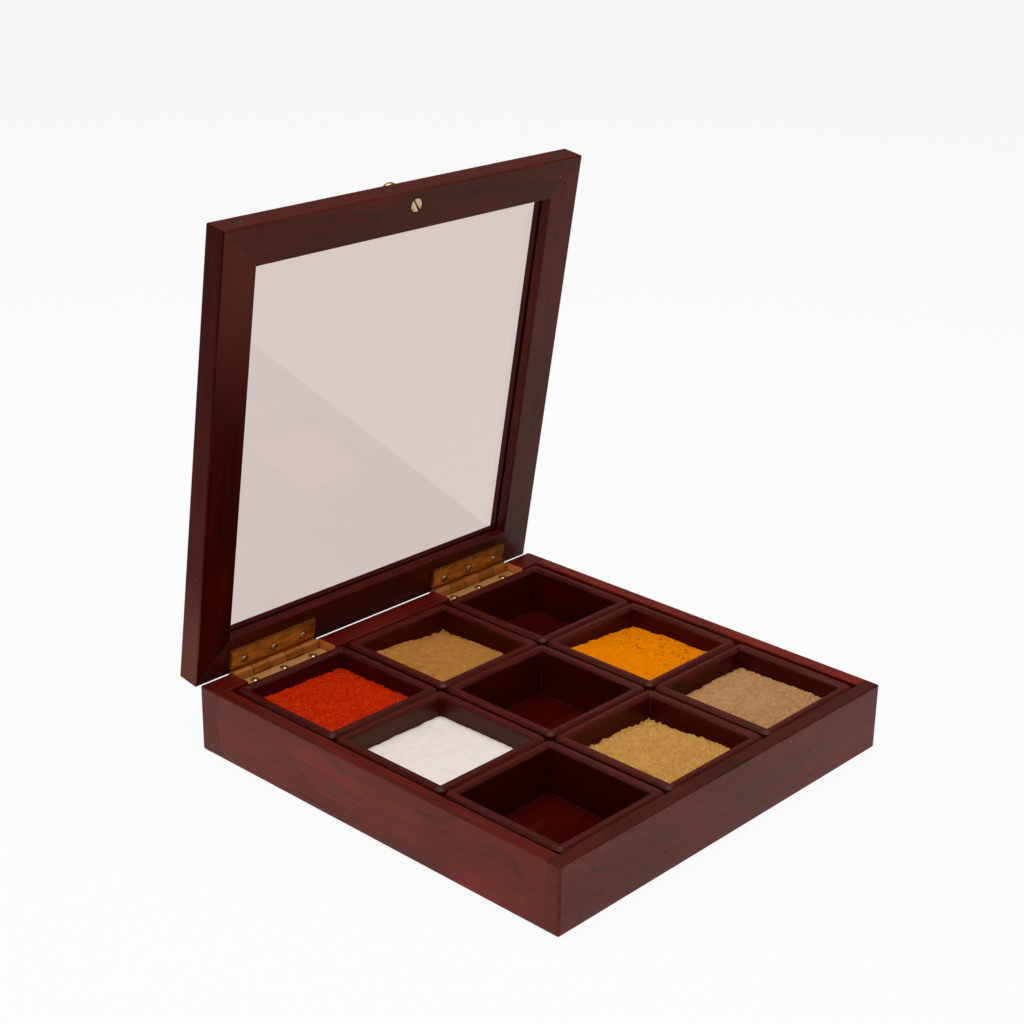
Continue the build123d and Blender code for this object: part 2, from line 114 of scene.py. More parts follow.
# ================================================================ node trees
class Tree:
    """A material's node tree, built by short calls that each return an output socket."""

    def __init__(self, name):
        self.material = bpy.data.materials.new(name)
        self.material.use_nodes = True
        self.nodes = self.material.node_tree.nodes
        self.links = self.material.node_tree.links
        self.nodes.clear()

    def add(self, kind, inputs=None, output=0, **settings):
        """A new node, whose inputs are sockets to link or values to set."""
        node = self.nodes.new("ShaderNode" + kind)
        for key, value in settings.items():
            setattr(node, key, value)
        for key, value in (inputs or {}).items():
            if isinstance(value, bpy.types.NodeSocket):
                self.links.new(value, node.inputs[key])
            else:
                node.inputs[key].default_value = value
        return node.outputs[output] if node.outputs else node

    def millimetres(self):
        """A point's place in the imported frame, in millimetres, which rides with its piece."""
        place = self.add("TexCoord", output="Object")
        return self.add("VectorMath", {0: place, "Scale": 1000.0}, operation="SCALE")

    def mapped(self, vector, location=(0, 0, 0), rotation=(0, 0, 0), scale=(1, 1, 1)):
        return self.add(
            "Mapping",
            {"Vector": vector, "Location": location, "Rotation": rotation, "Scale": scale},
        )

    def axes(self, vector):
        """The three components of a vector."""
        split = self.add("SeparateXYZ", {0: vector}).node
        return split.outputs[0], split.outputs[1], split.outputs[2]

    def noise(self, vector, scale=1.0, detail=4.0, roughness=0.5):
        return self.add(
            "TexNoise",
            {"Vector": vector, "Scale": scale, "Detail": detail, "Roughness": roughness},
            output="Fac",
        )

    def math(self, operation, a, b=0.0, c=0.0):
        return self.add("Math", {0: a, 1: b, 2: c}, operation=operation)

    def apart(self, a, b):
        """How far apart two values are."""
        return self.math("ABSOLUTE", self.math("SUBTRACT", a, b))

    def length(self, vector):
        return self.add("VectorMath", {0: vector}, output="Value", operation="LENGTH")

    def distance(self, a, b):
        """How far away a point is that lies a along one axis and b along another."""
        return self.length(self.add("CombineXYZ", {0: a, 1: b}))

    def span(self, value, low, high, to_low=0.0, to_high=1.0):
        """value mapped smoothly from low..high to to_low..to_high, and clamped."""
        return self.add(
            "MapRange",
            {"Value": value, "From Min": low, "From Max": high, "To Min": to_low, "To Max": to_high},
            interpolation_type="SMOOTHSTEP",
        )

    def mix(self, factor, a, b, blend="MIX"):
        """Colour a, with the share factor of colour b mixed into it."""
        node = self.nodes.new("ShaderNodeMix")
        node.data_type = "RGBA"
        node.blend_type = blend
        for socket, value in ((0, factor), (6, a), (7, b)):
            if isinstance(value, bpy.types.NodeSocket):
                self.links.new(value, node.inputs[socket])
            elif socket == 0:
                node.inputs[socket].default_value = value
            else:
                node.inputs[socket].default_value = (*value, 1.0)
        return node.outputs[2]

    def times(self, colour, multiplier):
        """A colour multiplied by another, or by one value."""
        return self.mix(1.0, colour, multiplier, "MULTIPLY")

    def bump(self, height, strength, distance, normal=None):
        inputs = {"Height": height, "Strength": strength, "Distance": distance}
        if normal is not None:
            inputs["Normal"] = normal
        return self.add("Bump", inputs)

    def principled(self, **inputs):
        """The surface shader, wired to the output.  Keys are its sockets' names with _."""
        named = {key.replace("_", " "): value for key, value in inputs.items()}
        shader = self.add("BsdfPrincipled", named)
        self.add("OutputMaterial", {"Surface": shader})
        return self.material


# ================================================================ wood
TURN_FOR_GRAIN = {"x": (0, 0, 0), "y": (0, 0, math.pi / 2)}
DARK_STAIN = (0.050, 0.0012, 0.0006)
MID_STAIN = (0.105, 0.0040, 0.0018)
LIGHT_STAIN = (0.160, 0.0105, 0.0045)
PORE_STAIN = (0.012, 0.0008, 0.0005)
GLUE_LINE = (0.012, 0.0006, 0.0004)
WORN_EDGE = (0.17, 0.055, 0.026)
RAW_WOOD = (0.66, 0.22, 0.065)
IRON_STAIN = (0.006, 0.0055, 0.004)
# A greyish haze painted on the lid's left rail, which stands in for a reflection:
PAINTED_HAZE_COLOUR = (0.13, 0.036, 0.025)
DUST = (0.62, 0.50, 0.44)
LACQUER_TINT = (1.0, 0.96, 0.80)
PORE_TINT = (0.42, 0.36, 0.30)
EDGE_ROUND = 0.8 * MM       # arrises rubbed round by sanding and handling


def grain_pattern(tree, place, grain, heart):
    """The stained wood's tone, its open pores and its fine fibres, each about 0 to 1."""
    from_heart = tree.mapped(place, location=tuple(-c for c in heart))
    along = tree.mapped(from_heart, rotation=TURN_FOR_GRAIN[grain])

    # Growth rings, pushed about slowly along the fibres so that they close in arches.
    slow = tree.noise(tree.mapped(along, scale=(0.007, 0.035, 0.035)), detail=2.0)
    push = tree.add("CombineXYZ", {1: tree.math("MULTIPLY", slow, 30.0)})
    pushed = tree.add("VectorMath", {0: along, 1: push}, operation="ADD")
    ring_wave = tree.add(
        "TexWave",
        {
            "Vector": tree.mapped(pushed, rotation=(0, 0.04, 0.05), scale=(0.25, 1, 1)),
            "Scale": 0.065,
            "Distortion": 3.0,
            "Detail": 3.0,
            "Detail Scale": 0.5,
            "Detail Roughness": 0.55,
        },
        output="Fac",
        wave_type="RINGS",
        rings_direction="X",
        wave_profile="SAW",
    )
    late_wood = tree.span(ring_wave, 0.78, 0.97)

    # Fine fibres, short dark pores, and slow patches where the stain took unevenly.
    fibres = tree.noise(tree.mapped(along, scale=(0.030, 1.0, 1.0)), detail=5.0, roughness=0.6)
    pore_noise = tree.noise(tree.mapped(pushed, scale=(0.15, 2.1, 2.1)), detail=1.0)
    pores = tree.span(pore_noise, 0.62, 0.70)
    patches = tree.noise(tree.mapped(along, scale=(0.020, 0.050, 0.050)), detail=3.0)
    tone = tree.math("MULTIPLY_ADD", fibres, 0.72, tree.math("MULTIPLY", patches, 0.50))
    tone = tree.math("MULTIPLY_ADD", late_wood, -0.13, tone)
    return tone, pores, fibres


def lid_marks(tree, colour, place, x, y, z):
    """The glue lines in the lid's mitres, and the marks round its staples and its knob."""
    from_side = tree.math("SUBTRACT", LID_HALF_WIDTH, tree.math("ABSOLUTE", x))
    from_end = tree.math("SUBTRACT", LID_BACK_EDGE, tree.math("ABSOLUTE", y))
    rubbed = tree.span(tree.noise(place, scale=0.9, detail=2.0), 0.46, 0.60)

    # On the mitres, the distances from the side edge and from the end edge are equal.
    off_mitre = tree.apart(from_side, from_end)
    mitre = tree.mix(rubbed, GLUE_LINE, WORN_EDGE)
    colour = tree.mix(tree.span(off_mitre, 0.12, 0.45, 0.70, 0.0), colour, mitre)

    # The iron of the staples has blackened the wood round them.
    across = tree.math("SUBTRACT", from_side, STAPLE_FROM_SIDE)
    up = tree.math("SUBTRACT", z, LID_MIDDLE)
    off_staple = tree.distance(
        tree.math("DIVIDE", across, STAPLE_STAIN_HALF_WIDTH),
        tree.math("DIVIDE", up, STAPLE_STAIN_HALF_HEIGHT),
    )
    ragged = tree.math("MULTIPLY_ADD", rubbed, 0.5, off_staple)
    colour = tree.mix(tree.span(ragged, 0.75, 1.15, 0.92, 0.0), colour, IRON_STAIN)

    # The wood is darker round the knob and the head of its screw.
    off_knob = tree.distance(x, tree.math("ADD", y, LID_BACK_EDGE - KNOB_FROM_EDGE))
    ragged = tree.math("MULTIPLY_ADD", rubbed, 0.5, off_knob)
    return tree.mix(tree.span(ragged, *KNOB_RING, 0.9, 0.0), colour, IRON_STAIN)


def painted_left_rail_light(tree, colour, x, y):
    """The lid's left rail, from front to back: its colour, and the tint of its gloss.

    Painted reflection and shade: the side edge is painted dark and dull at the front and
    pale with a grey haze of reflection at the hinges, and the inner face the other way round.
    """
    on_edge = tree.math("LESS_THAN", x, SIDE_EDGE_SKIN - LID_HALF_WIDTH)
    # Painted light and shade along the side edge and the inner face.
    edge_painted_light_and_shade = tree.span(y, -70, 45, 0.72, 1.15)
    face_painted_shade = tree.span(y, -60, 10, 0.88, 0.75)
    colour = tree.times(colour, tree.mix(on_edge, face_painted_shade, edge_painted_light_and_shade))
    edge_gloss = tree.span(y, -60, 60, 0.12, 1.0)
    face_gloss = tree.span(y, -60, 60, 1.0, 0.4)
    gloss = tree.times(LACQUER_TINT, tree.mix(on_edge, face_gloss, edge_gloss))
    # A grey haze painted into the colour stands in for a reflection.
    edge_painted_haze = tree.span(y, 45, 95, 0.0, 0.9)
    face_painted_haze = tree.span(y, -100, -10, 0.42, 0.0)
    painted_haze = tree.mix(on_edge, face_painted_haze, edge_painted_haze)
    return tree.mix(painted_haze, colour, PAINTED_HAZE_COLOUR), gloss


def squeezed_glue(tree, colour, place, x, y, middle, half_width, all_round):
    """Beads of glue along the seams of a tray's inside.

    The base meets the walls along all four edges, and the walls meet in the corners.
    """
    to_side = tree.apart(tree.apart(x, middle.x), half_width)
    to_end = tree.apart(tree.apart(y, middle.y), half_width)
    to_seam = tree.math("MINIMUM" if all_round else "MAXIMUM", to_side, to_end)
    beads = tree.span(tree.noise(place, scale=0.35, detail=3.0), 0.46, 0.68, 0.05, 0.55)
    glue = tree.math("MULTIPLY", tree.span(to_seam, 0.25, 0.7, 1.0, 0.0), beads)
    return tree.mix(glue, colour, WORN_EDGE)


def bare_mortise(tree, colour, x, z, low, high, floor):
    """Wood that a cutter left bare, from low to high along X and above the floor."""
    off_middle = tree.apart(x, (low + high) / 2)
    in_length = tree.math("LESS_THAN", off_middle, (high - low) / 2)
    bare = tree.math("MULTIPLY", in_length, tree.math("GREATER_THAN", z, floor))
    return tree.mix(tree.math("MULTIPLY", bare, 0.9), colour, RAW_WOOD)


def wood(name, grain="x", heart=(0, 0, 0), depth=1.0, sheen=0.23, pore=0.4, rim_painted_light=1.0,
         below_rim_gloss=1.0, on_lid=False, left_rail_painted=False, mortises=(), glued_square=None,
         glued_all_round=False):
    """Deep red-brown stained hardwood under a thin semi-gloss lacquer.

    grain is the axis that the fibres follow.  heart is a point in millimetres on the
    tree's middle line, whose distance from the board decides how its rings are cut.
    depth multiplies the stain, and rim_painted_light paints light and shade on the top edge of a
    wall.
    sheen is how strongly the lacquer reflects, and pore how dark the open pores are.
    below_rim_gloss dulls the lacquer where powder has rubbed it, below a tray's rim.
    on_lid lays the pattern out on the shut lid, with the marks that its rails have.
    left_rail_painted is for the lid's left rail, which gets painted reflection and shade.
    mortises are stretches of X and the height of their floor, in millimetres.
    glued_square is the middle and the half width, in millimetres, of a tray's inside,
    in whose corners, or along all of whose edges, a little glue was squeezed out.
    """
    tree = Tree(name)
    place = tree.millimetres()
    if on_lid:
        place = tree.mapped(place, location=tuple(SHUT_SHIFT), rotation=(LID_OPEN, 0, 0))
    x, y, z = tree.axes(place)
    tone, pores, fibres = grain_pattern(tree, place, grain, heart)
    open_pores = tree.math("MULTIPLY", pores, pore)

    colour = tree.mix(tree.span(tone, 0.33, 0.62), DARK_STAIN, MID_STAIN)
    colour = tree.mix(tree.span(tone, 0.58, 0.84), colour, LIGHT_STAIN)
    colour = tree.mix(open_pores, colour, PORE_STAIN)
    colour = tree.times(colour, (depth,) * 3)
    gloss = LACQUER_TINT
    # Painted light and shade on the top edge of a wall.
    if rim_painted_light != 1.0:
        on_rim = tree.span(z, RIM - 1.0, RIM - 0.3)
        colour = tree.mix(on_rim, colour, tree.times(colour, (rim_painted_light,) * 3))
    if on_lid:
        colour = lid_marks(tree, colour, place, x, y, z)
    if glued_square is not None:
        colour = squeezed_glue(tree, colour, place, x, y, *glued_square, glued_all_round)
    for mortise in mortises:
        colour = bare_mortise(tree, colour, x, z, *mortise)
    # The lid's left rail gets painted reflection and painted shade along it.
    if left_rail_painted:
        colour, gloss = painted_left_rail_light(tree, colour, x, y)
    if below_rim_gloss != 1.0:
        rubbed_tint = tuple(below_rim_gloss * part for part in LACQUER_TINT)
        gloss = tree.mix(tree.span(z, RIM - 3.5, RIM - 1.0), rubbed_tint, LACQUER_TINT)

    # A few pale specks of dust and chipped lacquer, some way apart.
    specks = tree.add("TexVoronoi", {"Vector": place, "Scale": 0.06}, output="Distance")
    colour = tree.mix(tree.span(specks, 0.008, 0.018, 0.8, 0.0), colour, DUST)

    height = tree.math("MULTIPLY_ADD", pores, -0.6, tree.math("MULTIPLY", fibres, 0.5))
    arrises = tree.add("Bevel", {"Radius": EDGE_ROUND}, samples=4)
    return tree.principled(
        Base_Color=colour,
        Roughness=tree.span(fibres, 0.3, 0.7, 0.36, 0.50),
        Normal=tree.bump(height, 0.30, 0.2 * MM, arrises),
        Specular_IOR_Level=sheen,
        Specular_Tint=tree.mix(open_pores, gloss, PORE_TINT),
    )


# ================================================================ glass
def clear_glass():
    """Sheet glass that lets the lamps through to what lies under it."""
    tree = Tree("sheet_glass")
    glass = tree.add(
        "BsdfPrincipled",
        {
            "Base Color": (0.70, 0.605, 0.585, 1.0),
            "Roughness": 0.0,
            "IOR": 1.35,
            "Transmission Weight": 1.0,
        },
    )
    clear = tree.add("BsdfTransparent", {"Color": (0.72, 0.64, 0.62, 1.0)})
    shadow_ray = tree.add("LightPath", output="Is Shadow Ray")
    surface = tree.add("MixShader", {0: shadow_ray, 1: glass, 2: clear})
    tree.add("OutputMaterial", {"Surface": surface})
    return tree.material


# ================================================================ metal
KNUCKLE_BRASS = (0.98, 0.32, 0.075)


def hinge_places(tree, place):
    """How far a point is along its hinge, from the pin, and from the nearest screw."""
    x = tree.axes(place)[0]
    along = tree.math("SUBTRACT", tree.math("ABSOLUTE", x), LEAF_MIDDLE)
    off_pin = tree.mapped(place, location=(0, -PIN.y, -PIN.z), scale=(0, 1, 1))
    from_pin = tree.length(off_pin)
    to_screw = tree.math("PINGPONG", tree.math("ABSOLUTE", along), SCREW_SPACING / 2)
    from_screw = tree.distance(to_screw, tree.math("SUBTRACT", from_pin, SCREW_FROM_PIN))
    return along, from_pin, from_screw


def leaf_wear_and_shade(tree, shade, dark, place, patches):
    """A hinge leaf, whose knuckles wear alike, with painted shade in its crevices."""
    along, from_pin, from_screw = hinge_places(tree, place)
    on_barrel = tree.span(from_pin, BARREL_RADIUS + 0.05, BARREL_RADIUS + 0.35, 1.0, 0.0)
    worn = tree.mix(tree.span(patches, 0.35, 0.70, 0.0, 0.4), KNUCKLE_BRASS, dark)
    shade = tree.mix(on_barrel, shade, worn)

    # Painted shade between the knuckles, round the screws, and where the plate meets the barrel.
    from_end = tree.math("ADD", along, (LEAF_LENGTH + KNUCKLE_GAP) / 2)
    to_gap = tree.math("PINGPONG", from_end, KNUCKLE_PITCH / 2)
    gaps = tree.math("MULTIPLY", on_barrel, tree.span(to_gap, 0.12, 0.60, 0.85, 0.0))
    rings = tree.span(from_screw, SCREW_HEAD_RADIUS, SCREW_HEAD_RADIUS + 0.75, 0.9, 0.0)
    fold = tree.span(from_pin, BARREL_RADIUS + 0.3, BARREL_RADIUS + 1.0, 0.55, 0.0)
    crevice_shade = tree.math("MAXIMUM", gaps, tree.math("MAXIMUM", rings, fold))
    return tree.mix(crevice_shade, shade, tuple(0.25 * part for part in dark))


def screw_head_dome_and_shade(tree, shade, dark, place, normal):
    """A slightly domed screw head with painted shade round its rim: its colour and its normal."""
    from_screw = hinge_places(tree, place)[2]
    # Painted shade round the rim, where the head sits in its countersink.
    rim = tree.span(from_screw, SCREW_HEAD_RADIUS - 0.5, SCREW_HEAD_RADIUS - 0.1, 0.0, 0.9)
    shade = tree.mix(rim, shade, tuple(0.3 * part for part in dark))
    dome = tree.math("MULTIPLY", tree.math("MULTIPLY", from_screw, from_screw), -0.32)
    return shade, tree.bump(dome, 1.0, MM, normal)


def metal(name, colour, dark, roughness, tarnish, streak=(1.0, 1.0, 1.0), hinge_part=None):
    """Metal with soft tarnish and fine rubbing marks, drawn out by the scales in streak.

    hinge_part is "leaf" or "screw" where wear and painted shade follow the hinge's own shape.
    """
    tree = Tree(name)
    place = tree.millimetres()
    patches = tree.noise(tree.mapped(place, scale=streak), scale=0.30, detail=4.0, roughness=0.6)
    rubbing = tree.noise(tree.mapped(place, scale=streak), scale=2.5, detail=3.0, roughness=0.7)
    dull = tree.span(patches, 0.30, 0.75, 0.0, tarnish)
    shade = tree.mix(dull, colour, dark)
    shade = tree.mix(tree.span(rubbing, 0.35, 0.75, 0.0, 0.35), shade, dark)
    rough = tree.math("MULTIPLY_ADD", dull, 0.20, roughness)
    rough = tree.math("MULTIPLY_ADD", rubbing, 0.12, rough)
    normal = tree.bump(rubbing, 0.20, 0.05 * MM)
    if hinge_part == "leaf":
        shade = leaf_wear_and_shade(tree, shade, dark, place, patches)
    elif hinge_part == "screw":
        shade, normal = screw_head_dome_and_shade(tree, shade, dark, place, normal)
    return tree.principled(Base_Color=shade, Roughness=rough, Metallic=1.0, Normal=normal)


# ================================================================ ground spice
def powder(name, colour, light, dark, speck, grain_mm=0.55, specks=0.5, pitted_from=None):
    """Dry ground spice: grains of several tones, in clumps, with darker specks among them.

    pitted_from is the X in millimetres past which the powder's surface is full of pits.
    """
    tree = Tree(name)
    place = tree.millimetres()
    cells = tree.add("TexVoronoi", {"Vector": place, "Scale": 1.0 / grain_mm}, output="Color")
    grain_tone = tree.add("SeparateColor", {0: cells})
    clumps = tree.noise(place, scale=0.22, detail=4.0, roughness=0.6)
    fine = tree.noise(place, scale=2.2, detail=3.0, roughness=0.7)
    shade = tree.mix(tree.span(clumps, 0.34, 0.66), dark, colour)
    shade = tree.mix(tree.span(fine, 0.45, 0.75, 0.0, 0.7), shade, light)
    shade = tree.mix(tree.span(grain_tone, 0.65, 1.0, 0.0, 0.5), shade, light)
    shade = tree.mix(tree.span(grain_tone, 0.0, 0.25, 0.55 * specks, 0.0), shade, speck)
    pits = tree.noise(place, scale=0.9, detail=2.0, roughness=0.5)
    shade = tree.mix(tree.span(pits, 0.66, 0.76, 0.0, specks), shade, speck)
    if pitted_from is not None:
        x = tree.axes(place)[0]
        holes = tree.noise(place, scale=0.36, detail=2.0, roughness=0.6)
        in_pitted_part = tree.span(x, pitted_from - 6, pitted_from + 8)
        hollow = tree.math("MULTIPLY", tree.span(holes, 0.57, 0.64), in_pitted_part)
        shade = tree.mix(tree.math("MULTIPLY", hollow, 0.85), shade, speck)
    return tree.principled(
        Base_Color=shade,
        Roughness=0.95,
        Normal=tree.bump(tree.math("ADD", fine, grain_tone), 0.55, 0.25 * MM),
        Specular_IOR_Level=0.02,
    )


# Each spice's colour, the tones of its lighter and darker grains, and of its specks.
POWDERS = {
    "salt_heap": dict(
        name="salt", colour=(0.81, 0.745, 0.725), light=(0.87, 0.81, 0.79),
        dark=(0.77, 0.70, 0.675), speck=(0.67, 0.59, 0.57), grain_mm=0.35, specks=0.1,
    ),
    "turmeric_heap": dict(
        name="turmeric", colour=(0.73, 0.205, 0.0002), light=(0.80, 0.255, 0.0003),
        dark=(0.67, 0.172, 0.0002), speck=(0.40, 0.060, 0.0004), specks=0.35,
        pitted_from=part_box("turmeric_heap")[0].x / MM + SMOOTH_TURMERIC,
    ),
    "ginger_heap": dict(
        name="ginger", colour=(0.50, 0.262, 0.064), light=(0.63, 0.37, 0.12),
        dark=(0.42, 0.205, 0.046), speck=(0.30, 0.125, 0.024),
    ),
    "tan_spice_heap": dict(
        name="tan_spice", colour=(0.41, 0.182, 0.042), light=(0.53, 0.265, 0.075),
        dark=(0.33, 0.136, 0.028), speck=(0.22, 0.080, 0.015),
    ),
    "red_chilli_heap": dict(
        name="red_chilli", colour=(0.46, 0.014, 0.0010), light=(0.64, 0.065, 0.003),
        dark=(0.38, 0.008, 0.0008), speck=(0.20, 0.003, 0.0006), grain_mm=0.75,
    ),
    "brown_spice_heap": dict(
        name="brown_spice", colour=(0.42, 0.215, 0.088), light=(0.54, 0.32, 0.16),
        dark=(0.34, 0.165, 0.062), speck=(0.20, 0.09, 0.032), grain_mm=0.75,
    ),
}

# Each heap: heights in millimetres over the tray's floor at its four corners, named for
# the box's corners that they are nearest; how far its middle bulges above them; and how
# lumpy it is over a few millimetres and how coarse its powder is.
HEAP_FORMS = {
    "salt_heap": dict(front_left=13.6, front_right=13.4, back_right=13.0, back_left=13.2,
                      bulge=0.8, lump=0.6, coarse=0.12),
    "turmeric_heap": dict(front_left=15.8, front_right=14.6, back_right=12.6, back_left=17.4,
                          bulge=4.2, lump=1.1, coarse=0.26),
    "ginger_heap": dict(front_left=14.0, front_right=13.2, back_right=10.2, back_left=12.8,
                        bulge=3.2, lump=2.1, coarse=0.66),
    "tan_spice_heap": dict(front_left=15.0, front_right=12.4, back_right=10.6, back_left=15.4,
                           bulge=3.2, lump=1.2, coarse=0.50),
    "red_chilli_heap": dict(front_left=15.5, front_right=14.4, back_right=14.0, back_left=15.2,
                            bulge=1.8, lump=0.6, coarse=0.60),
    "brown_spice_heap": dict(front_left=14.0, front_right=13.6, back_right=12.8, back_left=13.2,
                             bulge=4.6, lump=0.7, coarse=0.55),
}
LATTICE_SIZE = 64           # random values each way, after which the noise repeats


def value_noise(x, y, cell, seed):
    """Smooth noise in 0..1 over plane coordinates, the same on every run."""
    lattice = np.random.default_rng(seed).random((LATTICE_SIZE, LATTICE_SIZE))
    u, v = x / cell, y / cell
    i, j = np.floor(u).astype(int), np.floor(v).astype(int)
    fu, fv = u - i, v - j
    fu, fv = fu * fu * (3 - 2 * fu), fv * fv * (3 - 2 * fv)

    def corner(a, b):
        return lattice[(i + a) % LATTICE_SIZE, (j + b) % LATTICE_SIZE]

    near = corner(0, 0) * (1 - fu) + corner(1, 0) * fu
    far = corner(0, 1) * (1 - fu) + corner(1, 1) * fu
    return near * (1 - fv) + far * fv


def heap_surface(u, v, x, y, seed, front_left, front_right, back_right, back_left,
                 bulge, lump, coarse):
    """Heights of a heap's top in millimetres, with u and v running -1..1 across the tray."""
    right, back = (u + 1) / 2, (v + 1) / 2
    front_edge = front_left * (1 - right) + front_right * right
    back_edge = back_left * (1 - right) + back_right * right
    level = front_edge * (1 - back) + back_edge * back
    level = level + bulge * ((1 - np.abs(u) ** 2.2) * (1 - np.abs(v) ** 2.2)) ** 0.8
    for cell, share in LUMP_SIZES:
        level = level + share * lump * (value_noise(x, y, cell, seed + int(cell)) - 0.5)
    return level + 2.0 * coarse * (value_noise(x, y, GRAIN_SIZE, seed + 1) - 0.5)


def heap(node, seed, form):
    """A closed heap of powder on the tray's floor, with its rough top as real relief."""
    low, high = (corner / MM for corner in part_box(node))
    centre = (low + high) / 2
    half_x = (high.x - low.x) / 2 - HEAP_CLEARANCE
    half_y = (high.y - low.y) / 2 - HEAP_CLEARANCE
    count = int(2 * half_x / HEAP_STEP)
    u, v = np.meshgrid(np.linspace(-1, 1, count), np.linspace(-1, 1, count), indexing="ij")
    x, y = u * half_x, v * half_y
    top = low.z + heap_surface(u, v, x, y, seed, **form)

    surface = np.stack([centre.x + x, centre.y + y, top], axis=-1).reshape(-1, 3)
    index = np.arange(count * count).reshape(count, count)
    corners = (index[:-1, :-1], index[1:, :-1], index[1:, 1:], index[:-1, 1:])
    faces = np.stack(corners, axis=-1).reshape(-1, 4).tolist()
    # A skirt drops from the rim of the top to the floor, where one face closes the heap.
    rim = np.concatenate([index[:-1, 0], index[-1, :-1], index[:0:-1, -1], index[0, :0:-1]])
    foot = surface[rim].copy()
    foot[:, 2] = low.z
    foot_index = len(surface) + np.arange(len(rim))
    skirt = np.stack([np.roll(rim, -1), rim, foot_index, np.roll(foot_index, -1)], axis=-1)
    faces += skirt.tolist() + [foot_index[::-1].tolist()]

    mesh = bpy.data.meshes.new(node + "_loose")
    mesh.from_pydata((np.concatenate([surface, foot]) * MM).tolist(), [], faces)
    mesh.update()
    mesh.polygons.foreach_set("use_smooth", [True] * len(mesh.polygons))
    piece = bpy.data.objects.new(node + "_loose", mesh)
    bpy.context.scene.collection.objects.link(piece)
    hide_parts(node)
    return piece


def dress_heaps():
    for order, (node, form) in enumerate(HEAP_FORMS.items()):
        piece = heap(node, 100 * (order + 1), form)
        piece.data.materials.append(powder(**POWDERS[node]))
        body = NODES[node]["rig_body"]
        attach(piece, body)


# ================================================================ dressing the CAD nodes
def dress(node, material):
    mesh = NODES[node].data
    mesh.materials.clear()
    mesh.materials.append(material)


def dress_box():
    mortises = []
    for side in ("left", "right"):
        low, high = (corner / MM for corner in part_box(f"{side}_box_leaf"))
        mortises.append((low.x - MORTISE_END, high.x + MORTISE_END, low.z - MORTISE_DROP))
    # The walls' top edges are painted darker at the front, back and left, and lighter at the right,
    # for how the light falls on them.
    dress("front_wall", wood("front_board", "x", (40, -60, -30), depth=0.92, pore=0.75,
                             rim_painted_light=0.50))
    dress("back_wall", wood("back_board", "x", (-30, 160, -20), rim_painted_light=0.8,
                            mortises=mortises))
    dress("left_wall", wood("left_board", "y", (-126, 30, 13), depth=1.28, rim_painted_light=0.66))
    dress("right_wall", wood("right_board", "y", (130, -20, 10), pore=0.75, rim_painted_light=1.25))
    dress("bottom_panel", wood("bottom_board", "x", (0, 30, -60)))
    # The nail heads are punched in, filled and stained over with the boards.
    dress("box_brads", wood("stained_nail_heads", "x", depth=0.8))


# The lid's boards are made darker than the box's.
LID_RAILS = {
    "front": dict(grain="x", heart=(20, -80, 70), depth=0.52, sheen=0.155),
    "back": dict(grain="x", heart=(-50, 130, 80), depth=0.55, sheen=0.15),
    # The left rail gets painted reflection and painted shade along it.
    "left": dict(grain="y", heart=(-70, 20, 75), depth=0.52, sheen=0.06, left_rail_painted=True),
    "right": dict(grain="y", heart=(75, -30, 80), depth=0.60, sheen=0.17),
}


def dress_lid():
    for side, board in LID_RAILS.items():
        dress(f"lid_{side}_rail", wood(f"lid_{side}_wood", on_lid=True, **board))
    dress("glass_pane", clear_glass())


def dress_metal():
    drawn = (0.5, 1.6, 1.6)     # longer along X
    aged_brass = metal("aged_brass", (0.76, 0.32, 0.060), (0.20, 0.065, 0.010), 0.32, 0.8,
                       drawn, hinge_part="leaf")
    # The box's leaves get a lighter copy of the same brass: painted light for what they catch.
    painted_light_brass = metal("painted_light_brass", (1.00, 0.74, 0.30), (0.48, 0.25, 0.07), 0.42, 0.4,
                         drawn, hinge_part="leaf")
    small_brass = metal("small_screw_brass", (1.00, 0.84, 0.66), (0.45, 0.27, 0.16), 0.20, 0.4,
                        hinge_part="screw")
    screw_brass = metal("screw_brass", (0.74, 0.53, 0.36), (0.36, 0.18, 0.08), 0.24, 0.75,
                        streak=(1.5, 1.5, 1.5))
    stained_steel = metal("stained_steel", (0.24, 0.21, 0.19), (0.01, 0.006, 0.004), 0.45, 1.8,
                          streak=(4.0, 4.0, 4.0))
    for side in ("left", "right"):
        for node in ("lid_leaf", "hinge_pin"):
            dress(f"{side}_{node}", aged_brass)
        dress(f"{side}_box_leaf", painted_light_brass)
    for node in ("box_hinge_screws", "lid_hinge_screws"):
        dress(node, small_brass)
    dress("knob", metal("turned_brass", (0.60, 0.39, 0.22), (0.32, 0.17, 0.08), 0.24, 0.3))
    dress("knob_screw", screw_brass)
    dress("lid_staples", stained_steel)


# The boards of a tray: their grain, and how deep their stain and strong their lacquer is.
TRAY_BOARDS = {
    "sides": dict(grain="y", depth=0.50, sheen=0.25),
    "ends": dict(grain="x", depth=0.50, sheen=0.25),
    "base": dict(grain="x", depth=0.35, sheen=0.03, glued_all_round=True),
}
SALT_TRAY = "middle_left_tray"


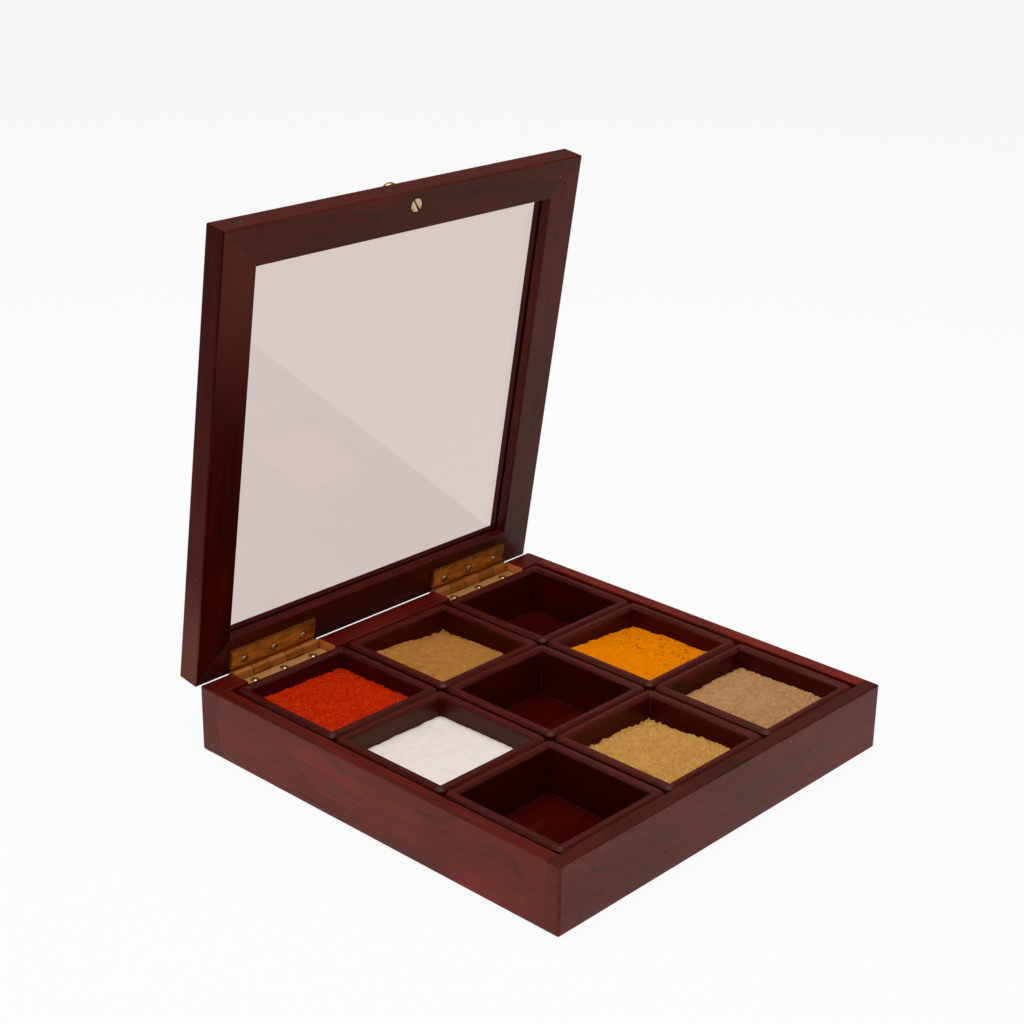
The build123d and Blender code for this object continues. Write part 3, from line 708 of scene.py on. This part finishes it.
def dress_trays():
    for row in ("front", "middle", "back"):
        for index, column in enumerate(("left", "middle", "right")):
            tray = f"{row}_{column}_tray"
            # The base is set in between the walls, so it is as wide as the tray's inside.
            low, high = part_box(tray + "_base")
            middle = (low + high) / 2 / MM
            inside = (middle, (high.x - low.x) / 2 / MM)
            # Each column's boards come from another part of the tree.
            heart = tuple(middle + Vector((13.0 * index, 29.0 * index, 28.0)))
            # Coloured powders have rubbed the lacquer dull in all trays but the salt's.
            gloss = 1.0 if tray == SALT_TRAY else 0.30
            for board, look in TRAY_BOARDS.items():
                node = f"{tray}_{board}"
                # The trays' rims are painted lighter, which stands in for their sheen.
                dress(node, wood(node, heart=heart, rim_painted_light=1.2, below_rim_gloss=gloss,
                                 glued_square=inside, **look))


# ================================================================ floor and light
FLOOR_HALF_SIZE = 8.0
FLOOR_DROP = 0.0002         # below the box's underside, so that the two don't meet
# The sine of the elevation at which each begins to give way to the other, and its colour.
SCREENS = (math.sin(math.radians(20.0)), (0.50, 0.46, 0.41, 1.0))
CEILING = (math.sin(math.radians(25.5)), (0.085, 0.062, 0.040, 1.0))
LAMP_PLACE = Vector((-0.2, -0.1, 1.5))
LAMP_SIZE = 1.6
LAMP_POWER = 29.0


def paper_floor():
    """White paper lit from behind, so that only the faintest shadow falls on it."""
    half = FLOOR_HALF_SIZE
    mesh = bpy.data.meshes.new("studio_floor")
    corners = [(-half, -half, 0), (half, -half, 0), (half, half, 0), (-half, half, 0)]
    mesh.from_pydata(corners, [], [(0, 1, 2, 3)])
    floor = bpy.data.objects.new("studio_floor", mesh)
    floor.location.z = -FLOOR_DROP
    bpy.context.scene.collection.objects.link(floor)
    paper = Tree("floor_paper").principled(
        Base_Color=(0.06, 0.06, 0.06, 1.0),
        Roughness=1.0,
        Specular_IOR_Level=0.0,
        Emission_Color=(1.0, 1.0, 1.0, 1.0),
        Emission_Strength=0.915,
    )
    mesh.materials.append(paper)


def studio_room():
    """Pale screens that stand around the paper's far edges, under a dim warm ceiling."""
    world = bpy.data.worlds.new("studio_room")
    bpy.context.scene.world = world
    world.use_nodes = True
    nodes, links = world.node_tree.nodes, world.node_tree.links
    direction = nodes.new("ShaderNodeTexCoord").outputs["Generated"]
    axes = nodes.new("ShaderNodeSeparateXYZ")
    links.new(direction, axes.inputs[0])
    ramp = nodes.new("ShaderNodeValToRGB")
    links.new(axes.outputs["Z"], ramp.inputs["Fac"])
    screens, ceiling = ramp.color_ramp.elements
    screens.position, screens.color = SCREENS
    ceiling.position, ceiling.color = CEILING
    links.new(ramp.outputs["Color"], nodes["Background"].inputs["Color"])


def overhead_lamp():
    """One large soft lamp, which faces the box from above it."""
    data = bpy.data.lights.new("overhead", "AREA")
    data.shape = "SQUARE"
    data.size = LAMP_SIZE
    data.energy = LAMP_POWER
    lamp = bpy.data.objects.new("overhead", data)
    lamp.location = LAMP_PLACE
    lamp.rotation_euler = (-LAMP_PLACE).to_track_quat("-Z", "Y").to_euler()
    bpy.context.scene.collection.objects.link(lamp)


# ================================================================ camera
# The camera stands where the photograph was taken from.
CAMERA_AZIMUTH = math.radians(-47.2043)
CAMERA_ELEVATION = math.radians(21.8144)
CAMERA_ROLL = math.radians(0.9213)
CAMERA_PLACE = Vector((-0.6093, -0.5439, 0.4434))
FOCAL_IN_IMAGE_WIDTHS = 1.9577
SENSOR_WIDTH_MM = 36.0


def camera():
    sin_a, cos_a = math.sin(CAMERA_AZIMUTH), math.cos(CAMERA_AZIMUTH)
    sin_e, cos_e = math.sin(CAMERA_ELEVATION), math.cos(CAMERA_ELEVATION)
    back = Vector((sin_a * cos_e, -cos_a * cos_e, sin_e))
    level_right = Vector((cos_a, sin_a, 0.0))
    level_up = back.cross(level_right)
    right = math.cos(CAMERA_ROLL) * level_right + math.sin(CAMERA_ROLL) * level_up
    up = back.cross(right)
    data = bpy.data.cameras.new("photo_camera")
    data.sensor_width = SENSOR_WIDTH_MM
    data.lens = FOCAL_IN_IMAGE_WIDTHS * SENSOR_WIDTH_MM
    data.clip_start = 0.01
    seen_from = bpy.data.objects.new("photo_camera", data)
    seen_from.matrix_world = Matrix.Translation(CAMERA_PLACE) @ Matrix(
        (right, up, back)
    ).transposed().to_4x4()
    bpy.context.scene.collection.objects.link(seen_from)
    bpy.context.scene.camera = seen_from


dress_box()
dress_lid()
dress_metal()
dress_trays()
dress_heaps()
paper_floor()
studio_room()
overhead_lamp()
camera()
bpy.context.scene.view_settings.view_transform = "Standard"     # colours as they are
